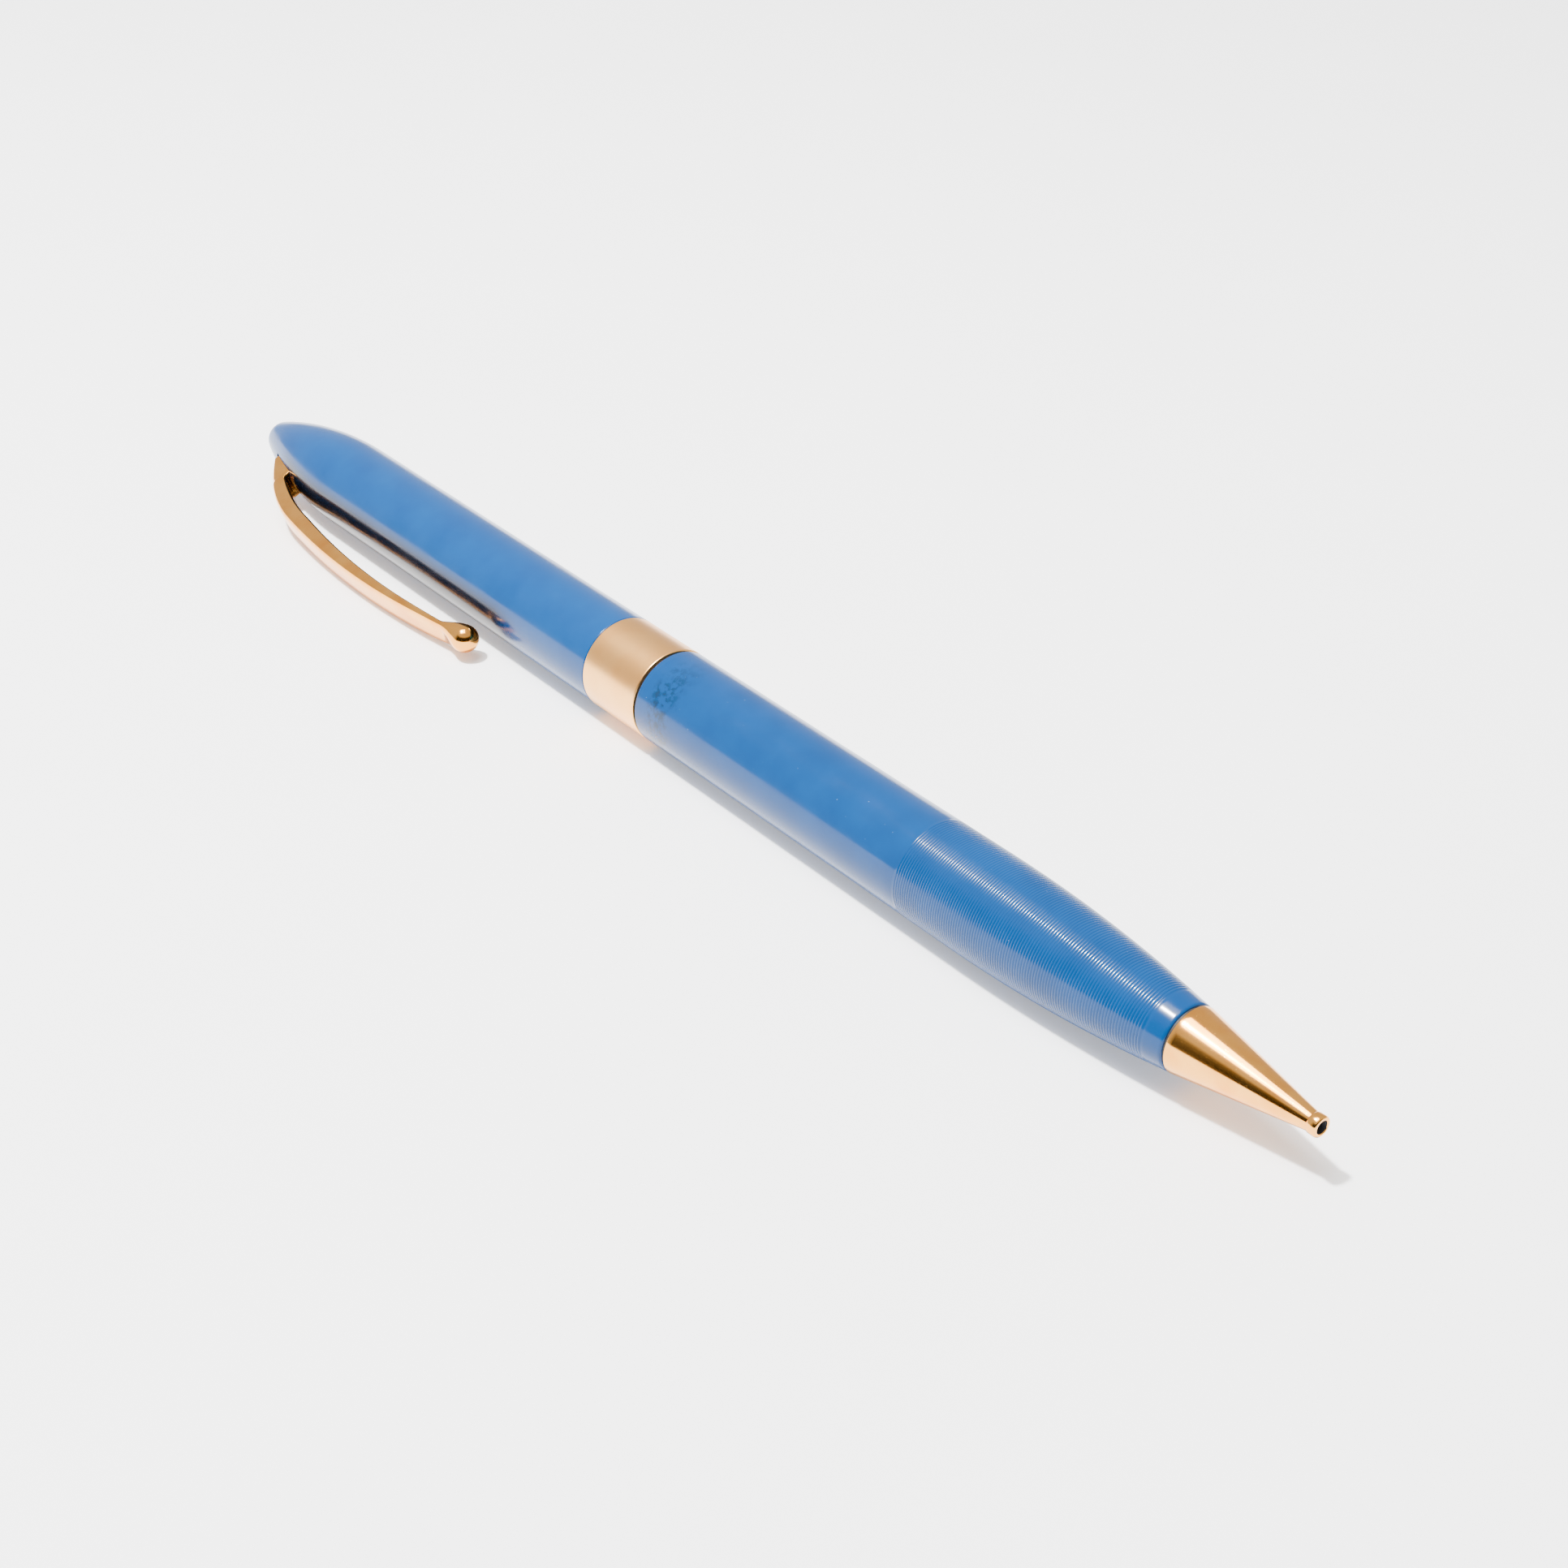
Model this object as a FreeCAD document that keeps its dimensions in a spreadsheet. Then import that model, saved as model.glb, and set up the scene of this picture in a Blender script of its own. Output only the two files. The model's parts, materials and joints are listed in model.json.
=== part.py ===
import FreeCAD, Part
import math
import os

import Sketcher

# A slim twist-action mechanical pencil lying on its side, resting on its barrel and its clip.
# Every piece is drawn on a bench frame: the axis is +X, x = 0 is the rounded end of the cap,
# the nose points to +X and the clip stands out towards +Y. "lie_down" then rolls the pieces
# about the axis, all by the same angle, and lowers them onto the plane z = 0.

doc = FreeCAD.newDocument("twist_pencil")

# Driving dimensions in millimetres. Names ending in _r are radii.
DIMENSIONS = {
    # outside of the cap, barrel and nose
    "body_r": 4.1, "cap_len": 66.1, "dome_len": 15.4, "crown_r": 1.8, "band_len": 7.1,
    "seam_gap": 0.05, "seam_len": 0.25, "seam_inset": 0.35, "barrel_len": 57.9,
    "taper_len": 20.4, "joint_r": 2.6, "flange_len": 0.2, "flange_inset": 0.12,
    "nose_len": 11.6, "neck_len": 0.9, "neck_r": 0.74, "mouth_r": 0.8, "mouth_bore_r": 0.5,
    "edge": 0.1,
    # running clearance of every fit that turns or slides
    "run_gap": 0.05,
    # walls and bores
    "cap_wall": 1.1, "band_wall": 0.5, "barrel_bore_r": 2.7, "front_bore_len": 6.7,
    "front_bore_r": 2.05, "insert_wall": 0.3, "tenon_len": 8.0, "sleeve_r": 1.05,
    "sleeve_wall": 0.25, "sleeve_reach": 5.6,
    # bearing, spring and washers
    "bearing_len": 4.0, "drag_gap": 0.1, "drag_len": 0.4, "collar_gap": 0.1,
    "collar_len": 1.5, "washer_len": 0.8, "washer_gap": 0.1,
    # drive tube and spiral
    "casing_wall": 0.3, "casing_top": 32.0, "floor_gap": 0.5, "floor_len": 1.5,
    "spiral_rim": 1.725, "spiral_pitch": 6.0, "spiral_slot": 1.05, "spiral_gap": 0.2,
    # guide tube, plug and carriage
    "guide_r": 1.65, "guide_wall": 0.3, "guide_tail": 3.0, "stop_len": 2.0,
    "guide_slot": 0.8, "plug_len": 1.5, "spigot_len": 3.8, "feed": 12.0, "retreat": 6.0,
    "pin_back": 19.6, "pin_r": 0.35, "carriage_len": 4.0,
    "rod_r": 0.45, "rod_len": 21.4, "holder_len": 4.5, "holder_wall": 0.27,
    "lead_seat": 1.5, "lead_r": 0.45, "lead_len": 20.0,
    # eraser and spare leads
    "plug_in": 5.0, "cup_len": 6.0, "cup_r": 2.5, "eraser_r": 2.3, "eraser_seat": 5.0,
    "eraser_len": 11.0, "spare_play": 9.0, "spare_ring": 1.1,
    # cap fittings
    "liner_back": 6.1, "liner_len": 24.0, "liner_slot": 0.5, "liner_slot_len": 14.0,
    "block_start": 4.0, "block_len": 9.0, "block_r": 1.9, "block_flange": 0.8,
    "nut_len": 1.0, "nut_hole_r": 1.2,
    # clip: places are measured from the end of the cap, and a rise from the cap's cylinder
    "clip_width": 2.8, "clip_gap": 0.1, "tail_width": 1.2, "tail_slot": 2.4,
    "clip_back": 5.4, "back_sink": 0.9, "clip_front": 8.4, "front_sink": 0.4,
    "foot_gap": 0.2, "shoulder_x": 14.5, "shoulder_rise": 3.25, "shoulder_r": 17.7,
    "arch_r": 96.0, "under_x": 16.5, "under_rise": 1.85, "under_turn_r": 24.0,
    "under_r": 102.0, "ball_x": 43.6, "ball_rise": 2.3, "ball_r": 1.25,
    "end_top_rise": 2.85, "end_low_rise": 2.4, "clip_round": 0.35, "swing_room": 0.45,
    "hinge_x": 6.9, "hinge_high": 0.6, "hinge_r": 0.4, "hinge_len": 3.2, "hub_r": 0.85,
    "wire_r": 0.08, "coil_turns": 2.0, "coil_gap": 0.02,
}

sheet = doc.addObject("Spreadsheet::Sheet", "dims")
for row, (alias, value) in enumerate(DIMENSIONS.items(), start=1):
    sheet.set("A%d" % row, alias)
    sheet.set("B%d" % row, str(value))
    sheet.setAlias("B%d" % row, alias)
doc.recompute()


class Size:
    """A length and the formula of sheet cells that gives it."""

    def __init__(self, number, formula):
        self.number = number
        self.formula = formula

    def join(self, other, sign, result):
        text = other.formula if isinstance(other, Size) else str(other)
        return Size(result, "(%s %s %s)" % (self.formula, sign, text))

    def __add__(self, other):
        return self.join(other, "+", self.number + plain(other))

    def __sub__(self, other):
        return self.join(other, "-", self.number - plain(other))

    def __mul__(self, other):
        return self.join(other, "*", self.number * plain(other))

    def __rmul__(self, other):
        return self * other

    def __truediv__(self, other):
        return self.join(other, "/", self.number / plain(other))


def plain(value):
    """The number of a Size, or of a plain number."""
    return value.number if isinstance(value, Size) else float(value)


class Dimensions:
    """The sheet's cells as attributes: d.body_r is the Size of the cell named body_r."""

    def __getattr__(self, alias):
        return Size(float(sheet.get(alias)), "dims." + alias)


d = Dimensions()
AXIS = FreeCAD.Vector(1, 0, 0)

# Places along the axis.
seam = d.cap_len + d.seam_gap + d.seam_len
nose_seam = seam + d.barrel_len
nose = nose_seam + d.flange_len
tip = nose + d.nose_len
taper = nose_seam - d.taper_len
band_start = d.cap_len - d.band_len
tenon = nose_seam - d.tenon_len
shoulder = tenon - d.front_bore_len
washer_start = shoulder - d.washer_len
casing_end = washer_start - d.washer_gap
spiral_end = casing_end - d.spiral_gap
plug_start = tenon - d.plug_len
guide_end = plug_start
bearing_end = seam + d.bearing_len
drag_start = bearing_end + d.drag_gap
collar_start = drag_start + d.drag_len + d.collar_gap
pin_place = shoulder - d.pin_back
carriage_back = pin_place - d.carriage_len / 2
carriage_front = pin_place + d.carriage_len / 2
holder_start = carriage_front + d.rod_len
lead_start = holder_start + d.lead_seat
holder_end = holder_start + d.holder_len
sleeve_end = tip - d.sleeve_reach
slot_start = pin_place - d.retreat
slot_end = pin_place + d.feed
lead_in = d.spiral_pitch / 8
spiral_start = slot_start - lead_in - d.spiral_slot / 2 - d.spiral_rim
guide_start = spiral_start - d.guide_tail
floor_start = guide_start - d.floor_gap - d.floor_len
plug_end = d.casing_top + d.plug_in
spare_top = plug_end + d.spare_play
liner_start = d.cap_len - d.liner_back - d.liner_len
block_end = d.block_start + d.block_len
flange_end = block_end + d.block_flange
cup_start = d.casing_top - d.cup_len
eraser_end = cup_start + d.eraser_seat
eraser_top = eraser_end - d.eraser_len

# Radii that follow from the fits.
cap_bore_r = d.body_r - d.cap_wall
band_seat_r = d.body_r - d.band_wall
casing_r = d.barrel_bore_r - 3 * d.run_gap
casing_bore_r = casing_r - d.casing_wall
guide_bore_r = d.guide_r - d.guide_wall
carriage_r = guide_bore_r - d.run_gap
insert_bore_r = d.front_bore_r - d.insert_wall
sleeve_bore_r = d.sleeve_r - d.sleeve_wall
pin_reach = casing_bore_r - 2 * d.run_gap

# Heights of the clip above the axis.
back_high = d.body_r - d.back_sink
front_high = d.body_r - d.front_sink
foot_high = d.block_r + d.foot_gap
shoulder_high = d.body_r + d.shoulder_rise
under_high = d.body_r + d.under_rise
ball_high = d.body_r + d.ball_rise
end_top_high = d.body_r + d.end_top_rise
end_low_high = d.body_r + d.end_low_rise


def add_sketch(body, name, plane="XY_Plane"):
    """A sketch on one of the body's own origin planes."""
    sketch = body.newObject("Sketcher::SketchObject", name)
    origin = [f for f in body.Origin.OriginFeatures if f.Role == plane][0]
    sketch.AttachmentSupport = [(origin, "")]
    sketch.MapMode = "FlatFace"
    return sketch


def place_point(sketch, geometry, point, x, y):
    """Ties one point of a sketch to two sizes measured from the origin."""
    for kind, size, axis in (("DistanceX", x, -2), ("DistanceY", y, -1)):
        if abs(plain(size)) < 1e-9:
            sketch.addConstraint(Sketcher.Constraint("PointOnObject", geometry, point, axis))
            continue
        index = sketch.addConstraint(
            Sketcher.Constraint(kind, -1, 1, geometry, point, plain(size)))
        sketch.setExpression("Constraints[%d]" % index, size.formula)


def set_radius(sketch, geometry, size):
    index = sketch.addConstraint(Sketcher.Constraint("Radius", geometry, plain(size)))
    sketch.setExpression("Constraints[%d]" % index, size.formula)


def arc_middle(start, end, radius, bulge):
    """The middle of an arc that bulges to the left or right of the way from start to end."""
    chord = end - start
    half = chord.Length / 2
    rise = radius - math.sqrt(radius * radius - half * half)
    side = FreeCAD.Vector(-chord.y, chord.x, 0).normalize()
    return (start + end) * 0.5 + side * (rise if bulge == "left" else -rise)


def draw(sketch, corners):
    """A closed outline. A corner is (x, y), or (x, y, radius, bulge) before an arc."""
    spots = [FreeCAD.Vector(plain(c[0]), plain(c[1]), 0) for c in corners]
    ends = []
    for i, corner in enumerate(corners):
        here, there = spots[i], spots[(i + 1) % len(spots)]
        if len(corner) == 2:
            ends.append((sketch.addGeometry(Part.LineSegment(here, there)), 1, 2))
            continue
        middle = arc_middle(here, there, plain(corner[2]), corner[3])
        if corner[3] == "right":
            ends.append((sketch.addGeometry(Part.Arc(here, middle, there)), 1, 2))
        else:
            ends.append((sketch.addGeometry(Part.Arc(there, middle, here)), 2, 1))
    for i, corner in enumerate(corners):
        now, after = ends[i], ends[(i + 1) % len(ends)]
        sketch.addConstraint(
            Sketcher.Constraint("Coincident", now[0], now[2], after[0], after[1]))
        place_point(sketch, now[0], now[1], corner[0], corner[1])
        if len(corner) == 4:
            set_radius(sketch, now[0], corner[2])


def rectangle(x0, x1, y0, y1):
    return [(x0, y0), (x0, y1), (x1, y1), (x1, y0)]


def turned(label, corners):
    """A lathe-turned body: an outline of (place, radius) corners revolved about the axis."""
    body = doc.addObject("PartDesign::Body", label)
    sketch = add_sketch(body, label + "_outline")
    draw(sketch, corners)
    revolution = body.newObject("PartDesign::Revolution", label + "_turning")
    revolution.Profile = sketch
    revolution.ReferenceAxis = (sketch, ["H_Axis"])
    revolution.Angle = 360
    doc.recompute()
    return body


def tube(label, start, end, outer, inner):
    return turned(label, rectangle(start, end, inner, outer))


def rod(label, start, end, radius):
    return turned(label, rectangle(start, end, 0, radius))


def pocket(body, name, corners, width):
    """Cuts an outline into the body, width wide about the bench XY plane."""
    sketch = add_sketch(body, name + "_outline")
    draw(sketch, corners)
    return cut_through(body, name, sketch, width)


def cut_through(body, name, sketch, width, midplane=True):
    """Cuts a sketch into the body, and stops if that takes nothing away."""
    before = body.Shape.Volume
    cut = body.newObject("PartDesign::Pocket", name)
    cut.Profile = sketch
    cut.Type = 0
    cut.setExpression("Length", width.formula)
    cut.Midplane = midplane
    doc.recompute()
    if body.Shape.Volume > before - 1e-4:
        raise SystemExit(name + " cuts nothing")
    return cut


def round_hole(body, name, x, y, radius, depth):
    """A hole across the pencil's axis, along the bench Z direction."""
    sketch = add_sketch(body, name + "_outline")
    circle = sketch.addGeometry(Part.Circle(
        FreeCAD.Vector(plain(x), plain(y), 0), FreeCAD.Vector(0, 0, 1), plain(radius)))
    place_point(sketch, circle, 3, x, y)
    set_radius(sketch, circle, radius)
    return cut_through(body, name, sketch, depth)


def round_the_axis(body, feature, name, count):
    """Repeats a feature round the pencil's axis."""
    pattern = body.newObject("PartDesign::PolarPattern", name)
    pattern.Originals = [feature]
    axis = [f for f in body.Origin.OriginFeatures if f.Role == "X_Axis"][0]
    pattern.Axis = (axis, [""])
    pattern.Angle = 360
    pattern.Occurrences = count
    body.Tip = pattern
    doc.recompute()


# ---- barrel: the half that the fingers hold ----------------------------------------------

def barrel_shell():
    drop = d.body_r - d.joint_r
    taper_arc = (d.taper_len * d.taper_len + drop * drop) / (2 * drop)
    return turned("barrel_shell", [
        (seam, d.barrel_bore_r), (seam, d.body_r - d.edge), (seam + d.edge, d.body_r),
        (taper, d.body_r, taper_arc, "left"), (nose_seam, d.joint_r), (nose_seam, d.front_bore_r),
        (shoulder, d.front_bore_r), (shoulder, d.barrel_bore_r)])


def barrel_insert():
    """The brass bush that the nose screws into; its flange is the thin line at the nose."""
    return turned("barrel_insert", [
        (tenon, insert_bore_r), (tenon, d.front_bore_r), (nose_seam, d.front_bore_r),
        (nose_seam, d.joint_r - d.flange_inset), (nose, d.joint_r - d.flange_inset),
        (nose, insert_bore_r)])


def nose_cone():
    neck = tip - d.neck_len
    return turned("nose_cone", [
        (tenon, d.sleeve_r), (tenon, insert_bore_r), (nose, insert_bore_r), (nose, d.joint_r),
        (neck, d.neck_r), (neck + d.edge, d.mouth_r), (tip - d.edge, d.mouth_r),
        (tip, d.mouth_r - d.edge), (tip, d.mouth_bore_r), (sleeve_end, d.mouth_bore_r),
        (sleeve_end, d.sleeve_r)])


def guide_plug():
    """The turned plug that centres the guide tube in the front of the barrel."""
    return turned("guide_plug", [
        (plug_start - d.spigot_len, sleeve_bore_r), (plug_start - d.spigot_len, guide_bore_r),
        (plug_start, guide_bore_r), (plug_start, d.front_bore_r), (tenon, d.front_bore_r),
        (tenon, sleeve_bore_r)])


def guide_tube():
    """The fixed tube whose straight slot keeps the carriage from turning."""
    body = tube("guide_tube", guide_start, guide_end, d.guide_r, guide_bore_r)
    room = d.pin_r + 5 * d.run_gap
    pocket(body, "straight_slot", rectangle(
        slot_start - room, slot_end + room, d.guide_r / 2, 2 * d.guide_r), d.guide_slot)
    return body


def drag_spring():
    """A split wire ring that gives the twist its drag."""
    body = tube("drag_spring", drag_start, drag_start + d.drag_len,
                d.barrel_bore_r - 0.4 * d.run_gap, casing_r + 0.4 * d.run_gap)
    pocket(body, "drag_split", rectangle(
        drag_start - 1, collar_start, casing_r / 2, 2 * casing_r), d.guide_slot)
    return body


# ---- drive: the part of the mechanism that turns with the cap ----------------------------

def spiral_tube():
    """The tube whose left-hand helical slot pushes the carriage's pin along.

    The slot runs an eighth of a turn past the pin's travel at each end, so the tube is turned
    by an eighth to bring the slot to the pin.
    """
    body = tube("spiral_tube", spiral_start, spiral_end, casing_bore_r,
                d.guide_r + d.run_gap)
    first = slot_start - lead_in - d.spiral_slot / 2
    sketch = add_sketch(body, "spiral_slot_outline")
    draw(sketch, rectangle(first, first + d.spiral_slot, d.guide_r, casing_r))
    before = body.Shape.Volume
    helix = body.newObject("PartDesign::SubtractiveHelix", "spiral_slot")
    helix.Profile = sketch
    helix.ReferenceAxis = (sketch, ["H_Axis"])
    helix.Mode = 0
    helix.setExpression("Pitch", d.spiral_pitch.formula)
    helix.setExpression("Height", (d.feed + d.retreat + 2 * lead_in).formula)
    helix.LeftHanded = True
    doc.recompute()
    if body.Shape.Volume > before - 1:
        raise SystemExit("the spiral slot cuts nothing")
    body.Placement = FreeCAD.Placement(
        FreeCAD.Vector(0, 0, 0), FreeCAD.Rotation(AXIS, 360 / 8))
    return body


def spare_leads():
    """Three spare leads standing in the magazine on its floor."""
    sticks = []
    for k in range(3):
        turn = FreeCAD.Rotation(AXIS, 120 * k)
        foot = turn.multVec(FreeCAD.Vector(plain(spare_top), plain(d.spare_ring), 0))
        sticks.append(Part.makeCylinder(
            plain(d.lead_r), plain(floor_start - spare_top), foot, AXIS))
    feature = doc.addObject("Part::Feature", "spare_leads")
    feature.Shape = Part.makeCompound(sticks)
    return feature


# ---- carriage: what feeds the lead -------------------------------------------------------

def carriage():
    """The slider in the guide tube, drilled from one side to its axis for the drive pin."""
    body = rod("carriage", carriage_back, carriage_front, carriage_r)
    sketch = add_sketch(body, "pin_seat_outline", "XZ_Plane")
    circle = sketch.addGeometry(Part.Circle(
        FreeCAD.Vector(plain(pin_place), 0, 0), FreeCAD.Vector(0, 0, 1), plain(d.pin_r)))
    place_point(sketch, circle, 3, pin_place, 0)
    set_radius(sketch, circle, d.pin_r)
    cut_through(body, "pin_seat", sketch, 2 * carriage_r, midplane=False)
    return body


def carriage_pin():
    """The drive pin, from the carriage's axis out through both slots."""
    pin = doc.addObject("Part::Cylinder", "carriage_pin")
    pin.setExpression("Radius", d.pin_r.formula)
    pin.setExpression("Height", pin_reach.formula)
    pin.Placement = FreeCAD.Placement(
        FreeCAD.Vector(plain(pin_place), 0, 0), FreeCAD.Rotation(AXIS, -90))
    doc.recompute()
    return pin


def lead_holder():
    """The split tube on the push rod that grips the lead and can draw it back."""
    body = tube("lead_holder", holder_start, holder_end, d.lead_r + d.holder_wall, d.lead_r)
    slit = d.lead_r / 3
    pocket(body, "holder_slit", rectangle(
        lead_start + slit, holder_end + 1, d.lead_r / 2, 2 * d.sleeve_r), slit)
    return body


def lead():
    end = lead_start + d.lead_len
    return turned("lead", [
        (lead_start, 0), (lead_start, d.lead_r), (end - d.edge, d.lead_r),
        (end, d.lead_r - d.edge), (end, 0)])


# ---- eraser -------------------------------------------------------------------------------

def eraser_ferrule():
    """The cup that holds the eraser, with the plug that closes the magazine."""
    plug_r = casing_bore_r - d.run_gap
    return turned("eraser_ferrule", [
        (cup_start, d.eraser_r), (cup_start, d.cup_r), (d.casing_top, d.cup_r),
        (d.casing_top, plug_r), (plug_end, plug_r),
        (plug_end, 0), (eraser_end, 0), (eraser_end, d.eraser_r)])


def eraser():
    bevel = 3 * d.edge
    return turned("eraser", [
        (eraser_top, 0), (eraser_top, d.eraser_r - bevel), (eraser_top + bevel, d.eraser_r),
        (eraser_end, d.eraser_r), (eraser_end, 0)])


# ---- cap ----------------------------------------------------------------------------------

def cap_shell():
    side = d.dome_len - d.crown_r
    side_arc = (side * side + d.body_r * d.body_r - d.crown_r * d.crown_r) / (
        2 * (d.body_r - d.crown_r))
    reach = side_arc - d.crown_r
    blend_x = d.crown_r - d.crown_r * side / reach
    blend_r = d.crown_r * (side_arc - d.body_r) / reach
    body = turned("cap_shell", [
        (0, 0, d.crown_r, "left"), (blend_x, blend_r, side_arc, "left"),
        (d.dome_len, d.body_r), (band_start, d.body_r), (band_start, band_seat_r), (d.cap_len, band_seat_r),
        (d.cap_len, cap_bore_r), (block_end, cap_bore_r), (block_end, d.block_r),
        (d.block_start, d.block_r), (d.block_start, 0)])
    pocket(body, "clip_window", rectangle(
        d.clip_back - d.swing_room, d.clip_front + d.clip_gap, d.hinge_high,
        2 * d.body_r), d.clip_width + 2 * d.clip_gap)
    return body


def cap_band():
    bevel = d.edge / 2
    return turned("cap_band", [
        (band_start, band_seat_r), (band_start, d.body_r - bevel),
        (band_start + bevel, d.body_r), (d.cap_len - bevel, d.body_r),
        (d.cap_len, d.body_r - bevel), (d.cap_len, band_seat_r)])


def cap_liner():
    """The brass sleeve whose fingers grip the drive tube and turn it with the cap."""
    body = tube("cap_liner", liner_start, liner_start + d.liner_len, cap_bore_r,
                casing_r + d.run_gap)
    slot = pocket(body, "finger_slot", rectangle(
        liner_start - 1, liner_start + d.liner_slot_len, casing_r / 2, 2 * casing_r),
        d.liner_slot)
    round_the_axis(body, slot, "finger_slots", 6)
    return body


def clip_block():
    """The plug in the top of the cap that carries the clip's hinge."""
    body = turned("clip_block", [
        (d.block_start, 0), (d.block_start, d.block_r), (block_end, d.block_r),
        (block_end, cap_bore_r), (flange_end, cap_bore_r), (flange_end, 0)])
    room = d.hub_r + d.clip_gap
    pocket(body, "tail_well", rectangle(
        d.hinge_x - room - d.swing_room, d.hinge_x + room, d.hinge_high - room,
        2 * d.body_r), d.tail_slot)
    round_hole(body, "hinge_hole", d.hinge_x, d.hinge_high, d.hinge_r, 4 * d.block_r)
    return body


def clip_hinge_pin():
    pin = doc.addObject("Part::Cylinder", "clip_hinge_pin")
    pin.setExpression("Radius", d.hinge_r.formula)
    pin.setExpression("Height", d.hinge_len.formula)
    pin.Placement.Base = FreeCAD.Vector(
        plain(d.hinge_x), plain(d.hinge_high), -plain(d.hinge_len) / 2)
    doc.recompute()
    return pin


def clip_spring():
    """Two small torsion coils round the hinge pin, one each side of the clip's tail."""
    coil_r = plain(d.hinge_r + d.wire_r) + plain(d.coil_gap)
    pitch = 2.2 * plain(d.wire_r)
    height = pitch * plain(d.coil_turns)
    inner = plain(d.tail_width) / 2 + plain(d.wire_r) + plain(d.coil_gap)
    coils = []
    for side in (inner, -inner - height):
        path = Part.Wire(Part.makeHelix(pitch, height, coil_r).Edges)
        ring = Part.Wire(Part.makeCircle(
            plain(d.wire_r), FreeCAD.Vector(coil_r, 0, 0), FreeCAD.Vector(0, 1, 0)))
        coil = path.makePipeShell([ring], True, True)
        coil.translate(FreeCAD.Vector(plain(d.hinge_x), plain(d.hinge_high), side))
        coils.append(coil)
    feature = doc.addObject("Part::Feature", "clip_spring")
    feature.Shape = Part.makeCompound(coils)
    return feature


def block_nut():
    """The slotted ring nut that holds the clip block in the cap."""
    end = flange_end + d.nut_len
    body = tube("block_nut", flange_end, end, cap_bore_r, d.nut_hole_r)
    slot = pocket(body, "driver_slot", rectangle(
        end - d.nut_len / 2, end + 1, d.nut_hole_r / 2, 2 * cap_bore_r), d.liner_slot)
    round_the_axis(body, slot, "driver_slots", 2)
    return body


# ---- clip ---------------------------------------------------------------------------------

def clip():
    """The pocket clip: an arched bar with a ball end, and a narrow tail on the hinge pin."""
    body = doc.addObject("PartDesign::Body", "clip")
    bow = add_sketch(body, "bow_outline")
    draw(bow, [
        (d.clip_back, foot_high), (d.clip_back, back_high, d.shoulder_r, "left"),
        (d.shoulder_x, shoulder_high, d.arch_r, "left"), (d.ball_x, end_top_high),
        (d.ball_x, end_low_high, d.under_r, "right"),
        (d.under_x, under_high, d.under_turn_r, "right"),
        (d.clip_front, front_high), (d.clip_front, foot_high)])
    pad(body, "bow", bow, d.clip_width)
    rounding = body.newObject("PartDesign::Fillet", "bow_rounding")
    rounding.Base = (doc.getObject("bow"), outer_edges(body.Shape))
    rounding.setExpression("Radius", d.clip_round.formula)
    doc.recompute()
    ball = body.newObject("PartDesign::AdditiveSphere", "ball")
    ball.setExpression("Radius", d.ball_r.formula)
    ball.Placement.Base = FreeCAD.Vector(plain(d.ball_x), plain(ball_high), 0)
    stem = add_sketch(body, "stem_outline")
    draw(stem, rectangle(
        d.hinge_x - d.hub_r, d.hinge_x + d.hub_r, d.hinge_high,
        foot_high + d.clip_round))
    pad(body, "stem", stem, d.tail_width)
    hub = add_sketch(body, "hub_outline")
    circle = hub.addGeometry(Part.Circle(
        FreeCAD.Vector(plain(d.hinge_x), plain(d.hinge_high), 0),
        FreeCAD.Vector(0, 0, 1), plain(d.hub_r)))
    place_point(hub, circle, 3, d.hinge_x, d.hinge_high)
    set_radius(hub, circle, d.hub_r)
    pad(body, "hub", hub, d.tail_width)
    round_hole(body, "hub_bore", d.hinge_x, d.hinge_high, d.hinge_r + d.run_gap,
               2 * d.clip_width)
    return body


def pad(body, name, sketch, width):
    """Raises a sketch to both sides of its plane, width thick in all."""
    feature = body.newObject("PartDesign::Pad", name)
    feature.Profile = sketch
    feature.setExpression("Length", width.formula)
    feature.Midplane = True
    doc.recompute()


def outer_edges(shape):
    """The names of the long edges of the bow's outer face."""
    names = []
    for i, edge in enumerate(shape.Edges, start=1):
        if not isinstance(edge.Curve, Part.Circle):
            continue
        if any(abs(edge.Curve.Radius - plain(r)) < 1e-6 for r in (d.shoulder_r, d.arch_r)):
            names.append("Edge%d" % i)
    return names


# ---- the whole pencil ---------------------------------------------------------------------

bar = clip()
pieces = [
    barrel_shell(), barrel_insert(), nose_cone(), guide_plug(), guide_tube(), drag_spring(),
    tube("nose_sleeve", tenon, sleeve_end, d.sleeve_r, sleeve_bore_r),
    rod("guide_stop", guide_start, guide_start + d.stop_len, guide_bore_r),
    tube("thrust_washer", washer_start, shoulder, d.barrel_bore_r,
         d.guide_r + 2 * d.run_gap),
    tube("rear_bearing", seam, bearing_end, d.barrel_bore_r, casing_r + d.run_gap),
    tube("seam_washer", d.cap_len + d.seam_gap, seam, d.body_r - d.seam_inset,
         d.barrel_bore_r + d.run_gap),
    tube("casing_tube", d.casing_top, casing_end, casing_r, casing_bore_r),
    tube("casing_collar", collar_start, collar_start + d.collar_len,
         d.barrel_bore_r - d.run_gap, casing_r),
    rod("magazine_floor", floor_start, floor_start + d.floor_len, casing_bore_r),
    spiral_tube(), spare_leads(), carriage(), carriage_pin(),
    rod("push_rod", carriage_front, lead_start, d.rod_r), lead_holder(), lead(),
    eraser_ferrule(), eraser(), cap_shell(), cap_band(), cap_liner(), clip_block(),
    clip_hinge_pin(), clip_spring(), block_nut(), bar,
]


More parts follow.
